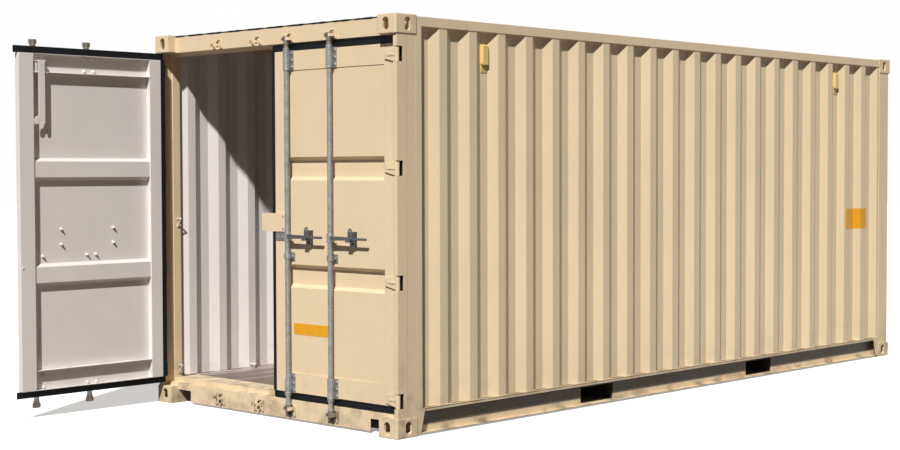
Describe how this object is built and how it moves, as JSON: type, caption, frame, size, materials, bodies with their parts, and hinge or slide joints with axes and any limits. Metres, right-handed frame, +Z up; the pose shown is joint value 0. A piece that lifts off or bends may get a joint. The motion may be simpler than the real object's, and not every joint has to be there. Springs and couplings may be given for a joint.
{
  "type": "twenty-foot freight container",
  "caption": "Twenty-foot corrugated steel freight container, one door leaf open, with locking bars, corner castings, fork pockets and a board floor.",
  "frame": {"origin": "on the ground, midway between the four bottom corner castings' lock holes", "axes": "+X along the length, from the door end to the closed end; +Z up"},
  "size_m": [7.239, 2.4445, 2.591],
  "materials": {
    "tan_paint": "satin",
    "inside_paint": "satin",
    "galvanised": "dull",
    "seal_rubber": "matt",
    "floor_wood": "worn",
    "vent_paint": "satin",
    "steel_pin": "dull"
  },
  "bodies": {
    "box": {"corner_castings_bottom": "tan_paint", "corner_castings_top": "tan_paint", "door_post_left": "tan_paint", "door_post_right": "tan_paint", "hinge_pins": "steel_pin", "front_posts": "tan_paint", "top_rail_left": "tan_paint", "top_rail_right": "tan_paint", "bottom_rail_left": "tan_paint", "bottom_rail_right": "tan_paint", "front_top_rail": "tan_paint", "front_bottom_rail": "tan_paint", "door_header": "tan_paint", "door_sill": "tan_paint", "threshold_plate": "tan_paint", "side_wall_left": "tan_paint", "side_wall_right": "tan_paint", "front_wall": "tan_paint", "roof_panel": "tan_paint", "floor_boards": "floor_wood", "cross_members": "tan_paint", "fork_pockets": "tan_paint", "fork_pocket_plates": "tan_paint", "pocket_rail_edges": "tan_paint", "vent_covers": "vent_paint", "lashing_loops": "inside_paint", "sill_keepers": "tan_paint", "header_keepers": "tan_paint"},
    "left_door": {"left_leaf_frame": "tan_paint", "left_leaf_panel": "tan_paint", "left_hinge_blades": "tan_paint", "left_bar_guides": "galvanised", "left_handle_catches": "galvanised", "left_gasket": "seal_rubber"},
    "right_door": {"right_leaf_frame": "tan_paint", "right_leaf_panel": "tan_paint", "right_hinge_blades": "tan_paint", "right_bar_guides": "galvanised", "right_handle_catches": "galvanised", "right_gasket": "seal_rubber", "lock_plate": "tan_paint"},
    "left_inner_bar": {"left_inner_bar": "galvanised"},
    "left_inner_handle": {"left_inner_handle": "galvanised"},
    "left_outer_bar": {"left_outer_bar": "galvanised"},
    "left_outer_handle": {"left_outer_handle": "galvanised"},
    "right_inner_bar": {"right_inner_bar": "galvanised"},
    "right_inner_handle": {"right_inner_handle": "galvanised"},
    "right_outer_bar": {"right_outer_bar": "galvanised"},
    "right_outer_handle": {"right_outer_handle": "galvanised"}
  },
  "joints": [
    {"name": "left_door_swing", "type": "hinge", "parent": "box", "child": "left_door", "pos_m": [-3, 1.197, 1.3], "axis": [0, 0, 1], "range_deg": [-172, 90]},
    {"name": "right_door_swing", "type": "hinge", "parent": "box", "child": "right_door", "pos_m": [-3, -1.197, 1.3], "axis": [0, 0, 1], "range_deg": [0, 262]},
    {"name": "left_inner_bar_turn", "type": "hinge", "parent": "left_door", "child": "left_inner_bar", "pos_m": [-4.035, 1.187, 1.212], "axis": [0, 0, 1], "range_deg": [0, 115]},
    {"name": "right_inner_bar_turn", "type": "hinge", "parent": "right_door", "child": "right_inner_bar", "pos_m": [-2.99, -0.162, 1.212], "axis": [0, 0, 1], "range_deg": [-115, 0]},
    {"name": "left_inner_handle_lift", "type": "hinge", "parent": "left_inner_bar", "child": "left_inner_handle", "pos_m": [-3.993, 1.204, 1.212], "axis": [0, -1, 0], "range_deg": [0, 25]},
    {"name": "right_inner_handle_lift", "type": "hinge", "parent": "right_inner_bar", "child": "right_inner_handle", "pos_m": [-3.007, -0.204, 1.212], "axis": [-1, 0, 0], "range_deg": [0, 25]},
    {"name": "left_outer_bar_turn", "type": "hinge", "parent": "left_door", "child": "left_outer_bar", "pos_m": [-3.62, 1.187, 1.212], "axis": [0, 0, 1], "range_deg": [0, 115]},
    {"name": "right_outer_bar_turn", "type": "hinge", "parent": "right_door", "child": "right_outer_bar", "pos_m": [-2.99, -0.577, 1.212], "axis": [0, 0, 1], "range_deg": [-115, 0]},
    {"name": "left_outer_handle_lift", "type": "hinge", "parent": "left_outer_bar", "child": "left_outer_handle", "pos_m": [-3.578, 1.204, 1.212], "axis": [0, -1, 0], "range_deg": [0, 25]},
    {"name": "right_outer_handle_lift", "type": "hinge", "parent": "right_outer_bar", "child": "right_outer_handle", "pos_m": [-3.007, -0.619, 1.212], "axis": [-1, 0, 0], "range_deg": [0, 25]}
  ]
}
